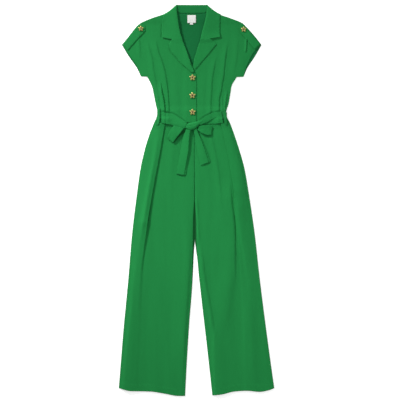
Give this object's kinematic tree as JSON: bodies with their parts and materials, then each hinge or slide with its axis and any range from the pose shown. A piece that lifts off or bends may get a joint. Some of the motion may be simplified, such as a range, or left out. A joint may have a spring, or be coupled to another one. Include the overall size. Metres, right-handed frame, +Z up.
{
  "type": "palazzo jumpsuit",
  "caption": "Green woven jumpsuit laid flat: notch-collar bodice with short sleeves, tied belt and wide pleated palazzo legs; a garment to wear, fold or display.",
  "frame": {"origin": "middle of the garment's outline, on the surface that it lies on", "axes": "+Z up out of the surface, +Y from the hems to the collar, +X to the right as one looks down on the garment's front"},
  "size_m": [0.5982, 1.5045, 0.0188],
  "materials": {
    "cloth": "matt plain-woven crepe in one green",
    "brass": "satin gilt",
    "label": "bare white woven tape"
  },
  "bodies": {
    "root": {"back_bodice": "cloth", "back_leg_left": "cloth", "back_leg_right": "cloth", "belt_back": "cloth", "belt_band_left": "cloth", "belt_band_right": "cloth", "belt_carrier_left": "cloth", "belt_carrier_right": "cloth", "belt_knot": "cloth", "belt_tail_left": "cloth", "belt_tail_right": "cloth", "bow_loop_left": "cloth", "bow_loop_right": "cloth", "button_low": "brass", "button_middle": "brass", "button_top": "brass", "collar": "cloth", "front_bodice_left": "cloth", "front_bodice_right": "cloth", "front_leg_left": "cloth", "front_leg_right": "cloth", "lapel_left": "cloth", "lapel_right": "cloth", "neck_label": "label", "size_tab": "label", "sleeve_tab_left": "cloth", "sleeve_tab_right": "cloth", "tab_button_left": "brass", "tab_button_right": "brass"}
  },
  "joints": []
}
